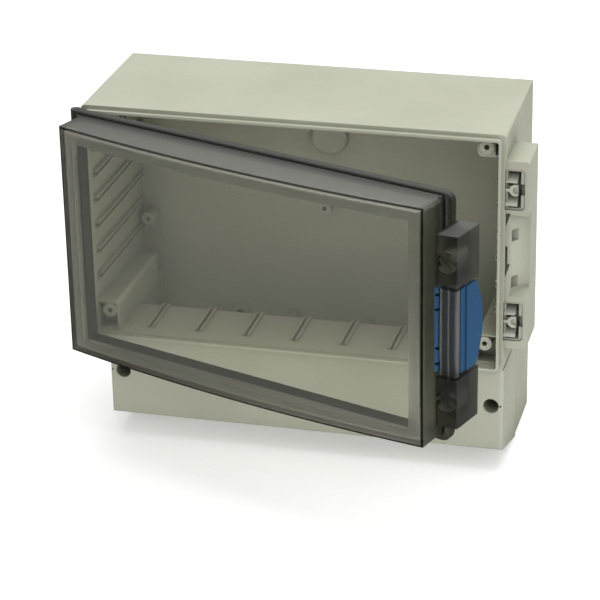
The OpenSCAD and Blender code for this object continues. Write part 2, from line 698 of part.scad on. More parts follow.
// Lock clip: a frame pressed into its pocket, with two ramped blocks and a claw for the lock's tab
module lock_clip(z) color(clip_grey) place() difference() {
    x0 = clip_x - pocket_w / 2 + clip_gap;
    slot_x = clip_x + 1.8;
    union() {
        difference() {
            along_y(latch_flange_y + clip_sink, pocket_y) pocket_outline(z, clip_gap);
            along_y(latch_flange_y, pocket_y - 2 * clip_wall) difference() {
                pocket_outline(z, clip_gap + clip_wall);
                polygon(rect2(slot_x + clip_slot, clip_x + pocket_w, z - pocket_h, z + pocket_h));
            }
        }
        along_x(x0, clip_x + 1.4) polygon([[claw_y, z + 4.4], [claw_y, z + 5], [claw_y + 7, z + 8.4],
            [pocket_y, z + 8.4], [pocket_y, z + 4.4]]);
        along_x(x0, clip_x + 1.4) polygon([[claw_y, z - 9.4], [claw_y, z - 7.6], [claw_y + 5, z - 5],
            [pocket_y, z - 5], [pocket_y, z - 9.4]]);
        along_y(claw_y, claw_y + claw_t) intersection() {
            translate([clip_x + 0.2, z]) circle(claw_r);
            polygon(rect2(clip_x - pocket_w, slot_x, z - pocket_h, z + pocket_h));
        }
        block(x0, clip_x - 2, claw_y, claw_y + claw_t, z - 0.8, z + 0.8);
        block(x0, clip_x - 1.4, claw_y + claw_t - eps, pocket_y, z - 2, z + 2);
    }
    along_y(claw_y - 1, claw_y + claw_t * 0.6) {
        translate([clip_x + 0.8, z]) circle(1.9);
        polygon(rect2(clip_x + 0.8, clip_x + 2, z - 1.2, z + 1.9));
    }
    rod_y(lock_x, z, claw_y - 1, tip_y + 2 * run_gap, neck_d + 2 * run_gap);
    block(lock_x - tab_t / 2 - run_gap, lock_x + tab_t / 2 + run_gap, claw_y - 1, tip_y + 2 * run_gap,
        z, z + tab_r + run_gap);
    rod_y(lock_x, z, tip_y - tab_t - run_gap, tip_y + 2 * run_gap, 2 * (tab_r + run_gap));
    block(slot_x, clip_x + pocket_w, claw_y - 1, tip_y + 2 * run_gap, z - tab_r - run_gap,
        z + tab_r + run_gap);
}
module lock_clip_upper() lock_clip(lock_zs[0]);
module lock_clip_lower() lock_clip(lock_zs[1]);

module hinge_pin(z) color(steel) place()
    rod_z(hinge_x, hinge_y, z - hinge_pin_l / 2, z + hinge_pin_l / 2, hinge_pin_d);
module hinge_pin_upper() hinge_pin(stations[0]);
module hinge_pin_lower() hinge_pin(stations[1]);

// Lid: flange, raised window, hinge knuckles, two lock housings and the cross bar in one moulding
module lid_plate() {
    along_y(-flange_t, 0) polygon(outline([[0, flange_bottom, 1], [flange_u, flange_bottom, flange_r],
        [flange_u, flange_top, flange_r], [0, flange_top, 1]]));
    mirror([0, 1, 0]) {
        moulded_box(skirt_left, skirt_right, skirt_bottom, skirt_top, flange_t / 2, lid_d,
            skirt_draft, skirt_draft, skirt_draft, edge_r);
        moulded_box(skirt_left - 1.2, skirt_right + 1.2, skirt_bottom - 1.2, skirt_top + 1.2,
            flange_t / 2, flange_t + 1.2, 1.2, 1.2, 1.2, 0.5);
    }
    for (z = stations, side = [-1, 1])
        rod_z(0, 0, z + side * knuckle_pitch - knuckle_l / 2, z + side * knuckle_pitch + knuckle_l / 2,
            2 * knuckle_r);
}
module lock_housings() for (k = [0, 1]) {
    z = lock_zs[k] + (1 - 2 * k) * house_shift;
    along_z(z - house_h / 2, z + house_h / 2)
        polygon(outline([[house_root_u, 0, 0], [house_u0 + 1, 0, 0], [house_u0 + 1, house_back, 0.3],
            [house_u1, house_back, 0.6], [house_u1, house_slant - house_front, 1.2],
            [house_u0, -house_front, 0.8], [house_u0, -flange_t, 0], [house_root_u, -flange_t, 0]]));
}
module bar_outline(grow) polygon(outline([[bar_u0, -bar_front - grow, 1.6],
    [pivot_u + 0.3, -bar_front - grow, 0.7], [pivot_u + 0.8, bar_groove - bar_front - grow, 0.25],
    [pivot_u + 1.3, -bar_front - grow, 0.7], [bar_u1, -bar_front - grow, 1.6], [bar_u1, -bar_back, 1.4],
    [bar_u0, -bar_back, 1.4]]));
module cross_bar() {
    along_z(bar_z0 - 1, bar_z1 + 1) bar_outline(0);
    along_z(latch_z - bar_mid_l / 2, latch_z + bar_mid_l / 2) bar_outline(bar_step);
}
module housing_hollows() {
    for (k = [0, 1]) {
        z = lock_zs[k] + (1 - 2 * k) * house_shift;
        difference() {
            along_z(z - house_h / 2 + house_wall, z + house_h / 2 - house_wall)
                polygon(rect2(house_u0 + house_wall, house_u1 - house_wall, house_floor_t - house_floor,
                    house_back + 1));
            block(house_u0, house_u1, house_floor_t - house_floor, house_back - house_wall,
                lock_zs[k] - lock_well_d / 2 - house_rib, lock_zs[k] - lock_well_d / 2);
        }
        rod_y(lock_u, lock_zs[k], -house_front - 1, -house_floor, lock_well_d);
        rod_y(lock_u, lock_zs[k], -house_front, 0, lock_shaft_d + 2 * turn_gap);
    }
    rod_z(pivot_u, -pivot_w, bar_z0 - latch_pin_in, bar_z1 + latch_pin_in, latch_pin_d + 2 * press_gap);
}
module groove_ring(out, inn) difference() {
    polygon(outline(rect(-lip_x - out - hinge_x, lip_x + out - hinge_x, lip_bottom - out, lip_top + out,
        edge_r)));
    polygon(outline(rect(lip_t + inn - lip_x - hinge_x, lip_x - lip_t - inn - hinge_x,
        lip_bottom + lip_t + inn, lip_top - lip_t - inn, edge_r / 2)));
}
module lid_window() color(smoke, 0.6) on_lid() difference() {
    union() {
        lid_plate();
        lock_housings();
        cross_bar();
    }
    mirror([0, 1, 0]) moulded_box(skirt_left + lid_wall, skirt_right - lid_wall, skirt_bottom + lid_wall,
        skirt_top - lid_wall, -eps, lid_d - lid_wall, skirt_draft, skirt_draft, skirt_draft, edge_r / 2);
    along_y(-groove_d, 1) groove_ring(groove_out, groove_in);
    housing_hollows();
    for (z = stations) {
        block(-2 * knuckle_r, notch_u, -2 * flange_t, knuckle_r + 1, z - knuckle_l / 2 - knuckle_gap,
            z + knuckle_l / 2 + knuckle_gap);
        rod_z(0, 0, z - hinge_pin_l / 2 - run_gap, z + hinge_pin_l / 2 + run_gap,
            hinge_pin_d + 2 * turn_gap);
    }
}
module lid_gasket() color(seal_black) on_lid() along_y(-groove_d, seal_proud)
    groove_ring(groove_out - 0.1, groove_in - 0.1);

// Latch handle: a channel that rocks on its pin behind the cross bar, with a paddle and two hooks
module latch_handle() color(latch_blue) on_lid() difference() {
    z0 = latch_z - handle_h / 2;
    z1 = latch_z + handle_h / 2;
    union() {
        along_z(z0, z1) polygon(outline([[jaw_u0, -jaw_front, 0.6], [jaw_u1, -jaw_front, 0.6],
            [jaw_u1, -web_front, 0.8], [paddle_u1 - paddle_step, -web_front, 0.5],
            [paddle_u1 - paddle_step, -web_back, 0], [jaw_u0, -web_back, 0.6]]));
        along_x(paddle_u0, paddle_u1) polygon([[-web_back - 1.6, z1], [-web_back - 1.6, z0],
            for (t = [-1 : 1 / 8 : 1]) [paddle_back * (1 - t * t), latch_z + t * handle_h / 2]]);
        for (z = hook_zs) along_z(z - hook_l / 2, z + hook_l / 2)
            polygon([[hook_u, -web_back - 1], [hook_u + hook_t, -web_back - 1],
                [hook_u + hook_t, -hook_back_w], [hook_tip_u + 1, -hook_back_w],
                [hook_tip_u, -hook_back_w - 1], [hook_tip_u, -hook_front_w], [hook_u, -hook_front_w]]);
    }
    rod_z(pivot_u, -pivot_w, z0 - 1, z1 + 1, latch_pin_d + 2 * turn_gap);
    for (t = [-0.81, -0.44, 0.49, 0.84])
        block(jaw_u1 - jaw_mark, jaw_u1 + 1, -jaw_front - 1, 2 * jaw_mark - jaw_front,
            latch_z + t * handle_h / 2 - jaw_mark / 2, latch_z + t * handle_h / 2 + jaw_mark / 2);
}
module latch_pin() color(steel) on_lid()
    rod_z(pivot_u, -pivot_w, bar_z0 - latch_pin_in + run_gap, bar_z1 + latch_pin_in - run_gap, latch_pin_d);

// Quarter-turn lock with a bayonet tab at its tip
module lock_screw(z) color(steel) on_lid() {
    difference() {
        rod_y(lock_u, z, -lock_head_w - lock_head_h, -lock_head_w, lock_head_d);
        translate([lock_u, -lock_head_w - lock_head_h, z]) rotate([0, 45, 0])
            cube([lock_head_d + 1, 2 * lock_slot_d, lock_slot_w], center = true);
    }
    rod_y(lock_u, z, -lock_head_w - eps, 0, lock_shaft_d);
    rod_y(lock_u, z, -eps, -tip_w, neck_d);
    block(lock_u - tab_t / 2, lock_u + tab_t / 2, -tip_w - tab_t, -tip_w, z, z + tab_r);
}
module lock_screw_upper() lock_screw(lock_zs[0]);
module lock_screw_lower() lock_screw(lock_zs[1]);
module lock_ring(z) color(seal_black) on_lid() difference() {
    rod_y(lock_u, z, -house_floor - ring_t, -house_floor, lock_head_d - 1);
    rod_y(lock_u, z, -house_floor - ring_t - 1, 0, lock_shaft_d + 2 * turn_gap);
}
module lock_ring_upper() lock_ring(lock_zs[0]);
module lock_ring_lower() lock_ring(lock_zs[1]);
module lock_retainer(z) color(steel) on_lid() difference() {
    front = house_floor_t - house_floor;
    rod_y(lock_u, z, front + turn_gap, front + turn_gap + retainer_t, lock_shaft_d + 2.4);
    rod_y(lock_u, z, front - 1, front + retainer_t + 1, lock_shaft_d + 2 * press_gap);
}
module lock_retainer_upper() lock_retainer(lock_zs[0]);
module lock_retainer_lower() lock_retainer(lock_zs[1]);

base_shell();
terminal_cover();
cover_gasket();
cover_screws();
cover_washers();
lock_clip_upper();
lock_clip_lower();
hinge_pin_upper();
hinge_pin_lower();
lid_window();
lid_gasket();
latch_handle();
latch_pin();
lock_screw_upper();
lock_screw_lower();
lock_ring_upper();
lock_ring_lower();
lock_retainer_upper();
lock_retainer_lower();
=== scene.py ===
# %% [markdown]
# # A wall box with a smoked lid
# The object is a wall-mounted instrument box in grey ABS. A smoked polycarbonate lid stands part
# open on its left hinge, and a blue latch rocks between two screwdriver locks on its right edge.
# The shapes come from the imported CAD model. Here they get their finishes, their fine mould
# marks, a stage, soft light and a camera.

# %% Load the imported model
from math import copysign, cos, pi, radians, sin

import bmesh
import bpy
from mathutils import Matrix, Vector


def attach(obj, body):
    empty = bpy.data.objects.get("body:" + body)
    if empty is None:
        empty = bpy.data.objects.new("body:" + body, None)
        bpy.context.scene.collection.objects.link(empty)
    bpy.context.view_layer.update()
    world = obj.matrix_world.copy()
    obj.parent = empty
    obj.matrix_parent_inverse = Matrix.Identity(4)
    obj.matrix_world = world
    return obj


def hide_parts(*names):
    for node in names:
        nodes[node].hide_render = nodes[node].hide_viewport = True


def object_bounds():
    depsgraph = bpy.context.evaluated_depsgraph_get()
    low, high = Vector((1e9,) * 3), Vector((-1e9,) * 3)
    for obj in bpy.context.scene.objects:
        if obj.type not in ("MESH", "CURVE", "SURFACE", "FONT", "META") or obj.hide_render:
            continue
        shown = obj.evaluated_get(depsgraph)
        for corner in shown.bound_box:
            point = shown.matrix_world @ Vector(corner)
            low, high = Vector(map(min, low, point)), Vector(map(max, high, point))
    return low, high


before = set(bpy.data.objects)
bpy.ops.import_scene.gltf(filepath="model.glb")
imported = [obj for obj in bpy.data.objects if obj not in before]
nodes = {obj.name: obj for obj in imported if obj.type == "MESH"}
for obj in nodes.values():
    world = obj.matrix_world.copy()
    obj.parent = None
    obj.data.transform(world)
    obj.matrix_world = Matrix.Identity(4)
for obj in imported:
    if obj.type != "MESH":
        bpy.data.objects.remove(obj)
cad_low, cad_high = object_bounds()
print("nodes", len(nodes), "box in mm", [round(1000 * s) for s in cad_high - cad_low])

# %% [markdown]
# ## The camera
# The camera was solved from the corners of the box and the lid, so it is given as a place, three
# angles and a long lens. A long lens from 1.5 m keeps the edges of the box almost parallel.

# %% Set the camera
view_data = bpy.data.cameras.new("front right view")
view_data.sensor_width = 36
view_data.lens = 153.99
view_camera = bpy.data.objects.new("front right view", view_data)
view_camera.location = (0.35343, -1.39470, 0.60478)
view_camera.rotation_euler = (radians(65.603), radians(1.086), radians(14.553))
bpy.context.scene.collection.objects.link(view_camera)
bpy.context.scene.camera = view_camera
print("lens", round(view_data.lens, 1), "mm")

# %% [markdown]
# ## Small helpers for node trees
# Every finish is a small tree of shader nodes. One helper places a node and sets or links its
# inputs, one starts a shared node group with named sockets, and one puts such a group to use.


# %% Helpers for shader nodes
def place(tree, kind, inputs=None, **options):
    made = tree.nodes.new(kind)
    for name, value in options.items():
        setattr(made, name, value)
    for name, value in (inputs or {}).items():
        if isinstance(value, bpy.types.NodeSocket):
            tree.links.new(value, made.inputs[name])
        else:
            made.inputs[name].default_value = value
    return made


def new_group(title, takes, gives):
    group = bpy.data.node_groups.new(title, "ShaderNodeTree")
    for name, kind, start in takes:
        socket = group.interface.new_socket(name, in_out="INPUT", socket_type=kind)
        socket.default_value = start
    for name, kind in gives:
        group.interface.new_socket(name, in_out="OUTPUT", socket_type=kind)
    return group, group.nodes.new("NodeGroupInput"), group.nodes.new("NodeGroupOutput")


def use_group(tree, group, inputs=None):
    return place(tree, "ShaderNodeGroup", inputs, node_tree=group)


print("helpers ready")

# %% [markdown]
# ## Moulded surface
# The mould of a grey ABS box is spark eroded, which leaves a fine even orange peel about half a
# millimetre across. A noise for the peel and a finer one for the pits are mixed into a height.
# A slow noise gives the slight unevenness of tone that a large moulding has. Two more groups find
# edges, where the plastics get a painted highlight, and deep corners, where they get painted
# shade.

# %% Build the shared surface groups
FLOAT = "NodeSocketFloat"
VECTOR = "NodeSocketVector"
PIT_SHARE = 0.4

peel_group, peel_in, peel_out = new_group(
    "moulded peel", [("Grain", FLOAT, 1800.0), ("Drift", FLOAT, 14.0)],
    [("Height", FLOAT), ("Tone", FLOAT)])
peel_at = place(peel_group, "ShaderNodeTexCoord")
peel = place(peel_group, "ShaderNodeTexNoise",
             {"Vector": peel_at.outputs["Object"], "Scale": peel_in.outputs["Grain"], "Detail": 3.0})
pits = place(peel_group, "ShaderNodeTexVoronoi",
             {"Vector": peel_at.outputs["Object"], "Scale": peel_in.outputs["Grain"]})
peel_mix = place(peel_group, "ShaderNodeMath",
                 {0: pits.outputs["Distance"], 1: PIT_SHARE, 2: peel.outputs["Fac"]},
                 operation="MULTIPLY_ADD")
drift = place(peel_group, "ShaderNodeTexNoise",
              {"Vector": peel_at.outputs["Object"], "Scale": peel_in.outputs["Drift"], "Detail": 4.0})
peel_group.links.new(peel_mix.outputs[0], peel_out.inputs["Height"])
peel_group.links.new(drift.outputs["Fac"], peel_out.inputs["Tone"])

# Edges found here are painted paler as a highlight on the plastics and painted as dark lines, a
# painted shade, on the smoked lid and locks.
edge_group, edge_in, edge_out = new_group(
    "soft edge", [("Radius", FLOAT, 0.0004)], [("Normal", VECTOR), ("Edge", FLOAT)])
rounded = place(edge_group, "ShaderNodeBevel", {"Radius": edge_in.outputs["Radius"]}, samples=6)
flat = place(edge_group, "ShaderNodeNewGeometry")
agree = place(edge_group, "ShaderNodeVectorMath",
              {0: rounded.outputs["Normal"], 1: flat.outputs["Normal"]}, operation="DOT_PRODUCT")
edge_mask = place(edge_group, "ShaderNodeMapRange",
                  {"Value": agree.outputs["Value"], "From Min": 0.98, "From Max": 0.75})
edge_group.links.new(rounded.outputs["Normal"], edge_out.inputs["Normal"])
edge_group.links.new(edge_mask.outputs["Result"], edge_out.inputs["Edge"])

# Deep corners found here are painted darker on the plastics, a painted shade.
corner_group, corner_in, corner_out = new_group(
    "deep corners", [("Reach", FLOAT, 0.03)], [("Depth", FLOAT)])
open_air = place(corner_group, "ShaderNodeAmbientOcclusion", {"Distance": corner_in.outputs["Reach"]},
                 samples=6)
corner_depth = place(corner_group, "ShaderNodeMapRange",
                     {"Value": open_air.outputs["AO"], "From Min": 0.95, "From Max": 0.25})
corner_group.links.new(corner_depth.outputs["Result"], corner_out.inputs["Depth"])
print("groups", [g.name for g in bpy.data.node_groups])

# %% [markdown]
# ## Opaque plastics
# Grey ABS, the blue latch and the light clips are the same kind of finish with other values: a
# satin plastic, a fine peel, a slow drift of tone, edges painted paler as a highlight and corners
# painted darker as shade.

# %% Make the opaque plastics
EDGE_HIGHLIGHT_SHARE = 0.6
HIGHLIGHT_LIFT = 1.25
CORNER_SHADE_SHARE = 0.65
CORNER_DROP = 0.35
PEEL_STRENGTH = 0.35
GLOSS_SPREAD = 0.05
EDGE_RADIUS = 0.0004
ABS_IOR = 1.53


def satin_plastic(title, dark, light, rough, peel_depth, reach=0.025):
    finish = bpy.data.materials.new(title)
    finish.use_nodes = True
    tree = finish.node_tree
    shader = tree.nodes["Principled BSDF"]
    surface = use_group(tree, peel_group)
    edges = use_group(tree, edge_group, {"Radius": EDGE_RADIUS})
    tone = place(tree, "ShaderNodeMapRange",
                 {"Value": surface.outputs["Tone"], "From Min": 0.3, "From Max": 0.7})
    corners = use_group(tree, corner_group, {"Reach": reach})
    # Edges are painted paler, a painted highlight.
    highlight_share = place(tree, "ShaderNodeMath", {0: edges.outputs["Edge"], 1: EDGE_HIGHLIGHT_SHARE},
                 operation="MULTIPLY")
    # Deep corners are painted darker, a painted shade.
    painted_shade_share = place(tree, "ShaderNodeMath", {0: corners.outputs["Depth"], 1: CORNER_SHADE_SHARE},
                  operation="MULTIPLY")
    pale = [HIGHLIGHT_LIFT * c for c in light[:3]] + [1]
    deep = [CORNER_DROP * c for c in dark[:3]] + [1]
    shade = place(tree, "ShaderNodeMix", {"Factor": tone.outputs["Result"], 6: dark, 7: light},
                  data_type="RGBA")
    highlighted = place(tree, "ShaderNodeMix", {"Factor": highlight_share.outputs[0], 6: shade.outputs[2], 7: pale},
                  data_type="RGBA")
    shade = place(tree, "ShaderNodeMix", {"Factor": painted_shade_share.outputs[0], 6: highlighted.outputs[2], 7: deep},
                  data_type="RGBA")
    gloss = place(tree, "ShaderNodeMapRange",
                  {"Value": surface.outputs["Tone"], "To Min": rough - GLOSS_SPREAD,
                   "To Max": rough + GLOSS_SPREAD})
    bump = place(tree, "ShaderNodeBump",
                 {"Strength": PEEL_STRENGTH, "Distance": peel_depth,
                  "Height": surface.outputs["Height"], "Normal": edges.outputs["Normal"]})
    tree.links.new(shade.outputs[2], shader.inputs["Base Color"])
    tree.links.new(gloss.outputs["Result"], shader.inputs["Roughness"])
    tree.links.new(bump.outputs["Normal"], shader.inputs["Normal"])
    shader.inputs["IOR"].default_value = ABS_IOR
    return finish


box_grey = satin_plastic("box grey", (0.49, 0.50, 0.395, 1), (0.55, 0.56, 0.45, 1), 0.5, 0.00006)
clip_grey = satin_plastic("clip grey", (0.50, 0.51, 0.42, 1), (0.58, 0.59, 0.50, 1), 0.42, 0.00003,
                          reach=0.006)
latch_blue = satin_plastic("latch blue", (0.018, 0.081, 0.188, 1), (0.024, 0.100, 0.222, 1), 0.36,
                           0.00002, reach=0.006)
seal_black = satin_plastic("seal black", (0.012, 0.012, 0.012, 1), (0.022, 0.022, 0.022, 1), 0.7,
                           0.00004)
seal_grey = satin_plastic("seal grey", (0.40, 0.41, 0.33, 1), (0.44, 0.45, 0.37, 1), 0.7, 0.00004)
print("plastics", [f.name for f in (box_grey, clip_grey, latch_blue, seal_black, seal_grey)])

# %% [markdown]
# ## Where on the lid
# The lid has polished and frosted parts in one moulding. A group turns object coordinates back to
# the shut lid: U runs from the hinge axis to the latch, W towards the front. The window is bowed,
# so the bow is taken off W first. Then come the masks: the clear window, a dark line painted along
# its rim as shade, the lens where the plate runs into its skirts, the flange, painted dark where the
# black seal lies behind it and painted as shade at its root, the lock housings, the bar between them
# and painted shadow in the gaps at its ends and beside it. Satin is high where the mould left a
# frosted face: on top, at the left and on the right of the lock housings. A fainter line of it
# follows the inner edge of the lens.

# %% Build the lid mask group
LID_OPEN = radians(18.8)
HINGE = Vector((-0.1248, -0.0982, 0))
ALONG_LID = Vector((cos(LID_OPEN), -sin(LID_OPEN), 0))
OUT_OF_LID = Vector((-sin(LID_OPEN), -cos(LID_OPEN), 0))
WINDOW_MIDDLE = (0.12445, 0.03155)
WINDOW_HALF = (0.1191, 0.0696)
WINDOW_BOW = 0.006
LATCH_MIDDLE = 0.03225
BAR_HALF = 0.0258
# Places on the shut lid in metres. In a pair, the mask starts at the first and is full at the second.
PLATE_BACK = (0.0192, 0.0196)
RIM_BACK = (0.0222, 0.0226)
HOUSING_SIDE = (0.2499, 0.2502)
LENS_EDGE = 0.0004
LENS_LINE = (0.0006, 0.0002)
SEAL_FRONT = (0.0100, 0.0088)
SEAL_SIDE = (-0.0018, -0.0024)
FLANGE_FRONT = (0.0068, 0.0050)
FINE_EDGE = 0.0002
BAR_GAP = (0.0011, 0.0007)
BAR_SIDE = (0.2522, 0.2514)
# How far a face's normal points one way, from not counted to fully counted, and shares of a mask.
FACING = (0.3, 0.8)
FLANGE_SHARE = 0.75
FLANGE_DULL = 0.6
TOP_SATIN = 0.6
LEFT_SATIN = 0.5
LENS_LINE_SATIN = 0.3

lid_group, lid_in, lid_out = new_group(
    "lid parts", [("Rim Width", FLOAT, 0.0014), ("Lens Width", FLOAT, 0.0085)],
    [("Clear", FLOAT), ("Rim", FLOAT), ("Lens", FLOAT), ("Flange", FLOAT), ("Housing", FLOAT),
     ("Bar", FLOAT), ("Gap", FLOAT), ("Satin", FLOAT)])
lid_at = place(lid_group, "ShaderNodeTexCoord")
upward = place(lid_group, "ShaderNodeSeparateXYZ", {"Vector": lid_at.outputs["Object"]})
facing = place(lid_group, "ShaderNodeSeparateXYZ", {"Vector": lid_at.outputs["Normal"]})


def count(kind, first, second=0.0):
    return place(lid_group, "ShaderNodeMath", {0: first, 1: second}, operation=kind).outputs[0]


def along(source, direction):
    return place(lid_group, "ShaderNodeVectorMath", {0: source, 1: direction},
                 operation="DOT_PRODUCT").outputs["Value"]


def ramp(source, start, end, most=1.0):
    made = place(lid_group, "ShaderNodeMapRange",
                 {"Value": source, "From Min": start, "From Max": end, "To Max": most})
    return made.outputs["Result"]


from_hinge = place(lid_group, "ShaderNodeVectorMath", {0: lid_at.outputs["Object"], 1: HINGE},
                   operation="SUBTRACT").outputs["Vector"]
to_latch = along(from_hinge, ALONG_LID)
to_front = along(from_hinge, OUT_OF_LID)
off_middle = count("SUBTRACT", to_latch, WINDOW_MIDDLE[0])
part_way = count("DIVIDE", off_middle, WINDOW_HALF[0])
fall = count("MULTIPLY", count("MULTIPLY", part_way, part_way), WINDOW_BOW)
unbowed = count("ADD", count("SUBTRACT", to_front, WINDOW_BOW), fall)
beside = count("SUBTRACT", count("ABSOLUTE", off_middle), WINDOW_HALF[0])
above = count("SUBTRACT", count("ABSOLUTE", count("SUBTRACT", upward.outputs["Z"], WINDOW_MIDDLE[1])),
              WINDOW_HALF[1])
from_edge = count("MAXIMUM", beside, above)
inside = ramp(count("ADD", from_edge, lid_in.outputs["Rim Width"]), FINE_EDGE, -FINE_EDGE)
past_lens = count("ADD", from_edge, lid_in.outputs["Lens Width"])
housing = ramp(to_latch, *HOUSING_SIDE)
beside_housing = count("SUBTRACT", 1.0, housing)
clear = count("MULTIPLY", inside, ramp(unbowed, *PLATE_BACK))
# Rim: a near-black line painted along the window's front rim, a painted shade.
rim = count("MULTIPLY", count("SUBTRACT", ramp(unbowed, *RIM_BACK), clear), beside_housing)
lens = count("MULTIPLY", clear, ramp(past_lens, -LENS_EDGE, LENS_EDGE))
lens_line = count("MULTIPLY", clear, ramp(count("ABSOLUTE", past_lens), *LENS_LINE, LENS_LINE_SATIN))
seal = count("MULTIPLY", ramp(to_front, *SEAL_FRONT), ramp(from_edge, *SEAL_SIDE))
# Root: the flange's root is painted dark as shade; over the seal the dark stands for the real black
# gasket behind it.
root = count("MULTIPLY", ramp(to_front, *FLANGE_FRONT), FLANGE_SHARE)
flange = count("MULTIPLY", count("MAXIMUM", seal, root), beside_housing)
from_latch = count("ABSOLUTE", count("SUBTRACT", upward.outputs["Z"], LATCH_MIDDLE))
bar = count("MULTIPLY", housing, ramp(from_latch, BAR_HALF + FINE_EDGE, BAR_HALF - FINE_EDGE))
# Gap: painted shadow at the bar's ends and in the slit between housing and skirt.
bar_end = ramp(count("ABSOLUTE", count("SUBTRACT", from_latch, BAR_HALF)), *BAR_GAP)
beside_bar = count("MULTIPLY", ramp(to_latch, *BAR_SIDE), count("SUBTRACT", 1.0, bar))
gap = count("MULTIPLY", housing, count("MAXIMUM", bar_end, beside_bar))
right_facing = along(lid_at.outputs["Normal"], ALONG_LID)
top_satin = ramp(facing.outputs["Z"], *FACING, TOP_SATIN)
left_satin = ramp(count("MULTIPLY", right_facing, -1.0), *FACING, LEFT_SATIN)
right_satin = count("MULTIPLY", ramp(right_facing, *FACING), housing)
frosted = count("MAXIMUM", count("MAXIMUM", top_satin, left_satin), right_satin)
dark_parts = count("MAXIMUM", count("MAXIMUM", clear, gap),
                   count("MAXIMUM", seal, count("MULTIPLY", flange, FLANGE_DULL)))
satin = count("MULTIPLY", frosted, count("SUBTRACT", 1.0, dark_parts))
for name, value in (("Clear", clear), ("Rim", rim), ("Lens", lens), ("Flange", flange),
                    ("Housing", housing), ("Bar", bar), ("Gap", gap),
                    ("Satin", count("MAXIMUM", satin, lens_line))):
    lid_group.links.new(value, lid_out.inputs[name])
print("lid group", len(lid_group.nodes), "nodes")

# %% [markdown]
# ## Smoked polycarbonate
# The lid is one clear moulding, tinted through. A volume absorption makes a 3 mm plate almost
# clear and a long path along an edge almost black, as the real lid shows. The skirts, the flange
# and the housings are frosted, and a rough coat stands for the light that a frosted face throws
# back. Sharp edges are painted as dark lines, a painted shade. Shadow rays get a tinted see-through
# shader, so that light reaches the inside of the box.

# %% Make the smoked lid and its locks
PAINTED_SHADE_BLACK = (0.02, 0.02, 0.016, 1)
SMOKE = (0.50, 0.50, 0.42, 1)
SHADOW_TINT = (0.80, 0.80, 0.76, 1)
LOCK_TINT = (0.35, 0.35, 0.31, 1)
SMOKED_IOR = 1.58
FROST_ROUGH = 0.6
FROST_IOR = 2.0


def smoked_clear(title, rough, density, tint):
    finish = bpy.data.materials.new(title)
    finish.use_nodes = True
    tree = finish.node_tree
    shader = tree.nodes["Principled BSDF"]
    shader.inputs["Base Color"].default_value = tint
    shader.inputs["Roughness"].default_value = rough
    shader.inputs["IOR"].default_value = SMOKED_IOR
    shader.inputs["Transmission Weight"].default_value = 1.0
    shader.inputs["Coat Roughness"].default_value = FROST_ROUGH
    shader.inputs["Coat IOR"].default_value = FROST_IOR
    end = tree.nodes["Material Output"]
    through = place(tree, "ShaderNodeBsdfTransparent", {"Color": SHADOW_TINT})
    light = place(tree, "ShaderNodeLightPath")
    either = place(tree, "ShaderNodeMixShader",
                   {0: light.outputs["Is Shadow Ray"], 1: shader.outputs["BSDF"],
                    2: through.outputs["BSDF"]})
    tree.links.new(either.outputs["Shader"], end.inputs["Surface"])
    smoke = place(tree, "ShaderNodeVolumeAbsorption", {"Color": SMOKE, "Density": density})
    tree.links.new(smoke.outputs["Volume"], end.inputs["Volume"])
    return finish


# Paints edges as near-black lines, a painted shade.
def painted_edge_shade(finish, tint, strength, spare=0.0):
    tree = finish.node_tree
    edges = use_group(tree, edge_group, {"Radius": EDGE_RADIUS})
    amount = place(tree, "ShaderNodeMath", {0: edges.outputs["Edge"], 1: strength},
                   operation="MULTIPLY")
    amount = place(tree, "ShaderNodeMath", {0: amount.outputs[0], 1: spare}, operation="SUBTRACT",
                   use_clamp=True)
    lined = place(tree, "ShaderNodeMix",
                  {"Factor": amount.outputs[0], 6: tint, 7: PAINTED_SHADE_BLACK}, data_type="RGBA")
    tree.links.new(lined.outputs[2], tree.nodes["Principled BSDF"].inputs["Base Color"])
    return amount.outputs[0]


lid_smoke = smoked_clear("lid smoke", 0.03, 60.0, (0.95, 0.95, 0.91, 1))
lid_tree = lid_smoke.node_tree
lid_shader = lid_tree.nodes["Principled BSDF"]
parts = use_group(lid_tree, lid_group)
tint = (0.36, 0.36, 0.31, 1)
rough = 0.42
# Flange, Rim and Gap are dark tints: the rim line and the gaps are painted shade, and the flange is
# painted shade at its root and stands for the black seal behind it.
lid_finishes = (
    ("Flange", (0.025, 0.025, 0.02, 1), 0.4),
    ("Housing", (0.09, 0.09, 0.07, 1), 0.5),
    ("Bar", (0.44, 0.45, 0.45, 1), 0.42),
    ("Gap", PAINTED_SHADE_BLACK, 0.4),
    ("Rim", (0.012, 0.012, 0.010, 1), 0.25),
    ("Clear", (0.90, 0.90, 0.85, 1), 0.03),
    ("Lens", (0.74, 0.74, 0.68, 1), 0.5),
)
for mask, shade, gloss in lid_finishes:
    shade_mix = place(lid_tree, "ShaderNodeMix", {"Factor": parts.outputs[mask], 6: tint, 7: shade},
                      data_type="RGBA")
    gloss_mix = place(lid_tree, "ShaderNodeMix", {"Factor": parts.outputs[mask], 2: rough, 3: gloss})
    tint, rough = shade_mix.outputs[2], gloss_mix.outputs[0]
# The lid's edges are painted as dark lines, a painted shade, except in the clear window.
lines = painted_edge_shade(lid_smoke, tint, 0.9, parts.outputs["Clear"])
satin = place(lid_tree, "ShaderNodeMath", {0: parts.outputs["Satin"], 1: lines},
              operation="SUBTRACT", use_clamp=True)
lid_tree.links.new(rough, lid_shader.inputs["Roughness"])
lid_tree.links.new(satin.outputs[0], lid_shader.inputs["Coat Weight"])
lock_smoke = smoked_clear("lock smoke", 0.4, 90.0, LOCK_TINT)
lock_smoke.node_tree.nodes["Principled BSDF"].inputs["Coat Weight"].default_value = 0.35
